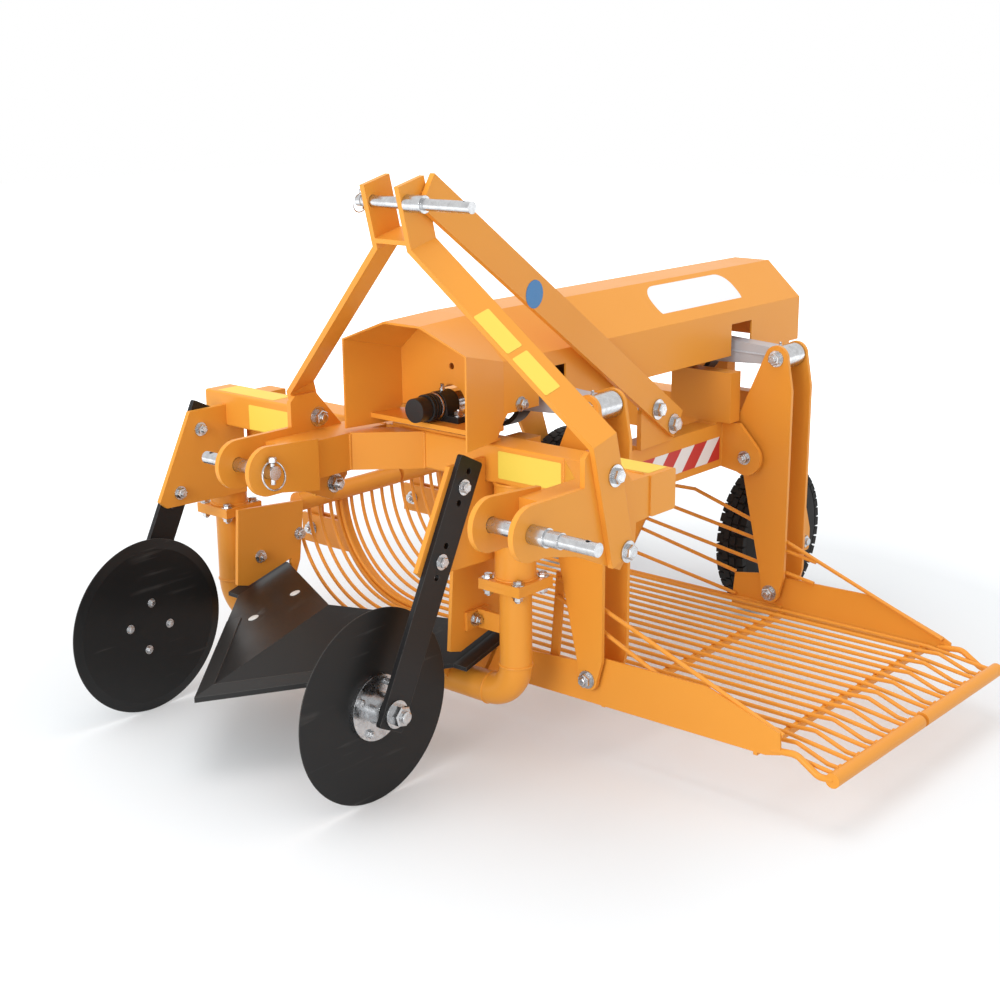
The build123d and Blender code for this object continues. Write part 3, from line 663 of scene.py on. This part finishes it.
# %% White, blue and striped plates
HOOD_EDGE = at(-85, 996, 247)                 # where the hood's top turns into its slope
chamfer, chamfer_up = at(82, 0, -75).normalized(), at(75, 0, 82).normalized()
middle = HOOD_EDGE + chamfer * 57.5
WHITE, BLUE, STRIPED = (299, 91, 38, 8), (50, 50, 24.9), (340, 50, 2)   # long, high, corner
stickers("white_plate", white_label, [(rounded(middle, Y, chamfer, *WHITE), chamfer_up)])
spot = BRACE_TOP + brace * 316 - brace_up * 7 + brace_out * BRACE_FACE
stickers("blue_plate", blue_label, [(rounded(spot, brace, brace_up, *BLUE), brace_out)])
stickers("striped_plate", stripes.material,
         [(rounded(at(RAIL_FACE, 870, -117), Y, Z, *STRIPED), X)])
print("plates placed")

# %% [markdown]
# ## Welds
# A weld bead is a row of overlapping drops. Displacing a tube would need many faces, and a
# bump would vanish in profile. A rippled rod laid in the corner shows just that, and a torus
# does for a bead round a tube. The paint covers them all.

# %% Straight and round beads
DROP, RIPPLE = 2.2, 0.16                      # length of a drop, and how far it swells


def bead(kit, start, end, radius=2.6):
    length = (end - start).length
    rows = max(4, int(length / DROP))
    profile = [(length * n / rows, radius * (1 + RIPPLE * (-1) ** n)) for n in range(rows + 1)]
    kit.turned(start, (end - start).normalized(), profile, 8)


# height and radius of each bead round a leg, then the one round the pipe under it
ROUND_BEADS = ((BEAM_Z - 1, 38), (FLANGE_TOP + 1, 38), (FLANGE_LOW - 1, 30), (-388, 29.6))
PIPE_X, PIPE_Z, PIPE_BEAD = 338, -450, 29.6
HITCH_EDGES = ((163, BEAM_Y), (261, 206), (261, 120))   # x and y of upright beads
welds = Kit()
for side in (1, -1):
    leg = beside(LEG_X, side)
    for z, radius in ROUND_BEADS:
        welds.ring(at(leg, LEG_Y, z), Z, radius, 2.8, steps=48)
    welds.ring(at(beside(PIPE_X, side), LEG_Y, PIPE_Z), X, PIPE_BEAD, 2.4, steps=48)
    for x, y in HITCH_EDGES:
        bead(welds, at(side * x, y, BEAM_Z + 2), at(side * x, y, BEAM_TOP - 2))
    bead(welds, at(side * 263, BEAM_Y, BEAM_TOP), at(side * 329, BEAM_Y, BEAM_TOP), 2.0)
print("weld points:", len(welds.points))

# %% [markdown]
# The rails, the uprights and the ears are welded to each other along their edges. Each bead
# needs only its two ends, and half of it sinks in the steel, as a real one melts into it.
# A seam along each pitman arm joins its two grey plates, and moves with the arm.

# %% Frame welds
bead(welds, at(RAIL_FACE, 370, RAIL_TOP), at(RAIL_FACE, 370, 20))
for y in (1026, 1063):
    bead(welds, at(-51, y, RAIL_TOP), at(-5, y, RAIL_TOP))
bead(welds, at(-44, 735, RAIL_TOP), at(-5, 735, RAIL_TOP), 2.2)
PIVOT_EARS, LINK_EARS = (-22, -12, 96, 106), (-16, -8, 8, 16)   # faces of a pair of ears
RIGHT_RAIL = -749                             # outer face of the right rail
for face, stations, ears, low, high in ((RAIL_FACE, ROCKERS, PIVOT_EARS, -157, -64),
                                        (RIGHT_RAIL, HANGERS, LINK_EARS, -149, -72)):
    for y in stations.values():
        for edge in ears:
            bead(welds, at(face, y + edge, low), at(face, y + edge, high), 2.2)
welds.build("frame_welds", orange, "frame", "orange_paint")
for end, y in ROCKERS.items():
    seam = Kit()
    bead(seam, at(-60, y + 25, SHAFT_Z), at(84, y + 20.5, SHAFT_Z), 2.4)
    seam.build(f"pitman_seam_{end}", grey, f"pitman_{end}", "grey_paint")
print("frame welds:", len(welds.faces), "faces")

# %% [markdown]
# ### Rod welds
# Each sieve rod is tacked to the tube at its head, to both cross bars and to the lip tube. A
# tack is a short fat drop, rounder than a bead, and there is one for every crossing, so the
# loop runs over the rods and each grate's tacks ride with it.

# %% Tacks
ROD_PITCH, RODS, DECK, ROD = 32, 10, -460, 4  # pitch, count, middle of the rods, their radius
FIRST_ROD = 18                                # from the grate's outer side
GRATES = {"front": (446, 1), "rear": (1093, -1)}   # y of that side, and the way inward
BAR_EDGES = (137, 145, 466, 474)              # x of both edges of each cross bar
LIP_X, LIP_Z, HEAD_X, HEAD_Z = 607, -475, -705, -254
BAR_TACK = [(0, 1.0), (1.5, 2.4), (5.5, 2.4), (7, 1)]
LIP_TACK = [(0, 1.2), (2, 3.0), (6, 3.0), (8, 1.2)]
HEAD_TACK = [(0, 1.5), (2, 4.2), (6, 4.2), (8, 1.5)]
for end, (outer, inward) in GRATES.items():
    tacks = Kit()
    for n in range(RODS):
        y = outer + inward * (FIRST_ROD + ROD_PITCH * n)
        for x in BAR_EDGES:
            tacks.turned(at(x, y - 3.5, DECK - ROD), Y, BAR_TACK, 8)
        tacks.turned(at(LIP_X, y - 4, LIP_Z), Y, LIP_TACK, 8)
        tacks.turned(at(HEAD_X, y - 4, HEAD_Z), Y, HEAD_TACK, 8)
    tacks.build(f"rod_tacks_{end}", orange, f"grate_{end}", "orange_paint")
print("tacks:", RODS * (len(BAR_EDGES) + 2) * len(GRATES))

# %% [markdown]
# ## Bearing and grease nipples
# The shaft turns in a pillow block, whose bright inner ring shows round it. Each bearing that
# swings has a nipple for the grease gun, one turned profile used three times. The rockers' top
# bushes are plated steel: a thin sleeve over the arm's end shows that, where a second finish
# on one node would need its faces picked out.

# %% Small fittings
NIPPLE = [(0, 5), (5, 5), (6, 3), (10, 3), (12, 4), (14, 2)]
SMALL_NIPPLE = [(along * 0.75, radius * 0.75) for along, radius in NIPPLE]
SLEEVE = [(11, 18), (11, 24.5), (73, 24.5), (73, 18), (11, 18)]   # closed on itself
bearing = Kit()
bearing.ring(at(SHAFT_X, 288.5, SHAFT_Z), Y, 22, 3.2, steps=48)
bearing.turned(at(SHAFT_X, BEARING_Y, SHAFT_Z + 25), Z, NIPPLE, 12)
bearing.build("bearing_rings", zinc.material, "frame", "zinc_plate")
for end, y in ROCKERS.items():
    nipple = Kit()
    nipple.turned(at(ARM_X - 7, y + 26, ARM_Z + 21), Z, SMALL_NIPPLE, 12)
    nipple.turned(at(ARM_X, y, ARM_Z), Y, SLEEVE, 64, capped=False)
    nipple.build(f"grease_nipple_{end}", zinc.material, f"pitman_{end}", "zinc_plate")
print("nipples:", 1 + len(ROCKERS))

# %% [markdown]
# ## Tyres
# The gauge wheels roll on small tyres with square shoulder lugs and two staggered rows of
# centre blocks. Tread in bump would leave the outline round. The carcass is turned from its
# section and the lugs stand on it, so the grooves are real, and the radius stays that of the
# CAD tyre, which this piece replaces.

# %% Tyres
LUGS, BLOCK = 44, 19.5                         # blocks in a row, and the length of one
# the section from bead to bead: x, radius
CARCASS = ((-34, 100), (-36.5, 112), (-36.9, 126), (-36.2, 128), (-36.5, 148), (-31, 164),
           (-16, 170.5), (16, 170.5), (31, 164), (36.5, 148), (36.2, 128), (36.9, 126),
           (36.5, 112), (34, 100))
ROWS = ((-35, -18, 156, 170.5, 0.0), (18, 35, 156, 170.5, 0.0), (-15.5, -1.5, 168, 174.5, 0.5),
        (1.5, 15.5, 168, 174.5, 0.0))          # from x, to x, foot, top, turn in lugs
half = BLOCK / 2
for name in ("left", "right"):
    low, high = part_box(f"tyre_{name}")
    hub = (low + high) / 2 / MM
    tyre = Kit()
    tyre.turned(hub, X, CARCASS, 96, capped=False)
    for n in range(LUGS):
        for x0, x1, foot_r, top_r, turn in ROWS:
            a = 2 * math.pi * (n + turn) / LUGS
            out, along = at(0, math.cos(a), math.sin(a)), at(0, -math.sin(a), math.cos(a))
            outline = [hub + X * x + out * foot_r + along * t
                       for x, t in ((x0, -half), (x1, -half), (x1, half), (x0, half))]
            tyre.slab(outline, out * (top_r - foot_r))
    piece = tyre.build(f"tyre_tread_{name}", rubber.material, f"wheel_{name}", "tyre_rubber")
    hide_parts(f"tyre_{name}")
print("lugs on a tyre:", LUGS * len(ROWS))

# %% [markdown]
# ## Studio
# A pale floor keeps the shadow. A curved backdrop would do, but it gets in the way of a view
# from behind. So to the camera the floor glows a little, and more with the distance from the
# machine, until it meets the white background without a horizon. The machine itself gets none
# of that light.

# %% Floor and background
def seen_rays(tree):
    """1 for rays from the camera, or by way of a mirror or glass, and 0 for light rays."""
    path = tree.nodes.new("ShaderNodeLightPath")
    camera, glossy, through = (Sock(tree, path.outputs[f"Is {kind} Ray"])
                               for kind in ("Camera", "Glossy", "Transmission"))
    return (camera + glossy + through).clamp()


FLOOR_SIZE = 14.0                             # half a side
GLOW, GLOW_FROM, GLOW_RISE = 0.08, 1.3, 0.6   # by the machine, its reach, growth a metre
MACHINE = (-0.1, 0.7, 0.0)                    # its middle on the ground
floor_z = cad_box[0].z
data = bpy.data.meshes.new("floor")
data.from_pydata([(x * FLOOR_SIZE, y * FLOOR_SIZE, floor_z)
                  for x, y in ((-1, -1), (1, -1), (1, 1), (-1, 1))], [], [(0, 1, 2, 3)])
floor = bpy.data.objects.new("floor", data)
bpy.context.scene.collection.objects.link(floor)
ground = Finish("floor_white", Roughness=0.9, Specular_IOR_Level=0.0, Emission_Strength=1.0)
ground["Base Color"] = ground.noise(0.6, 2.0).mix((0.75, 0.78, 0.80), (0.73, 0.76, 0.78))
away = ground.place.node("ShaderNodeVectorMath", [(0, ground.place), (1, MACHINE)],
                         out=1, operation="DISTANCE")
glow = ((away - GLOW_FROM) * GLOW_RISE).clamp().mix((GLOW, GLOW, GLOW), (1.0, 1.0, 1.0))
ground["Emission Color"] = seen_rays(ground.tree).mix((0.0, 0.0, 0.0), glow)
data.materials.append(ground.material)

world = bpy.data.worlds.new("studio")
bpy.context.scene.world = world
world.use_nodes = True
world.node_tree.nodes["Background"].inputs["Color"].default_value = (1.0, 1.0, 1.0, 1.0)
print("floor at", round(floor_z, 4), "m")

# %% [markdown]
# One large soft lamp stands low in front, so it reaches into the mouth of the hood. A second
# hangs overhead, and the white surroundings fill the rest. Small lamps would give hard
# shadows, which a studio with big diffusers doesn't have.

# %% Lamps
LAMP_AIM = at(-0.1, 0.5, -0.1)


def lamp(name, place, wide, power):
    """A round soft lamp that looks at the machine's middle."""
    data = bpy.data.lights.new(name, "AREA")
    data.shape, data.size, data.energy = "DISK", wide, power
    light = bpy.data.objects.new(name, data)
    light.location = place
    aim = LAMP_AIM - at(*place)
    light.rotation_euler = aim.to_track_quat("-Z", "Y").to_euler()
    bpy.context.scene.collection.objects.link(light)


# place and width in metres, power in watts
lamp("key", (0.6, -4.2, 1.3), 2.2, 96)
lamp("top", (-0.4, 0.4, 4.2), 3.0, 48)
print("lamps:", len(bpy.data.lights))

# %% [markdown]
# The camera stands in front of the machine's left side at about chest height. It could aim at
# an empty, but three plain angles show how it is held, and the view stays the same wherever
# the machine's parts swing. Colours are shown as they are, with no film curve.

# %% Camera
STAND = at(1.7707, -1.7214, 0.6771)
AZIMUTH, ELEVATION, ROLL = 40.92, 15.57, -0.49     # degrees
SENSOR, LENS = 36, 56.43                           # millimetres
camera = bpy.data.objects.new("camera", bpy.data.cameras.new("camera"))
bpy.context.scene.collection.objects.link(camera)
bpy.context.scene.camera = camera
camera.data.sensor_width, camera.data.lens = SENSOR, LENS
camera.matrix_world = (Matrix.Translation(STAND)
                       @ Matrix.Rotation(math.radians(AZIMUTH), 4, "Z")
                       @ Matrix.Rotation(math.radians(90 - ELEVATION), 4, "X")
                       @ Matrix.Rotation(math.radians(ROLL), 4, "Z"))
bpy.context.scene.view_settings.view_transform = "Standard"
print("camera at", [round(v, 3) for v in camera.matrix_world.translation])
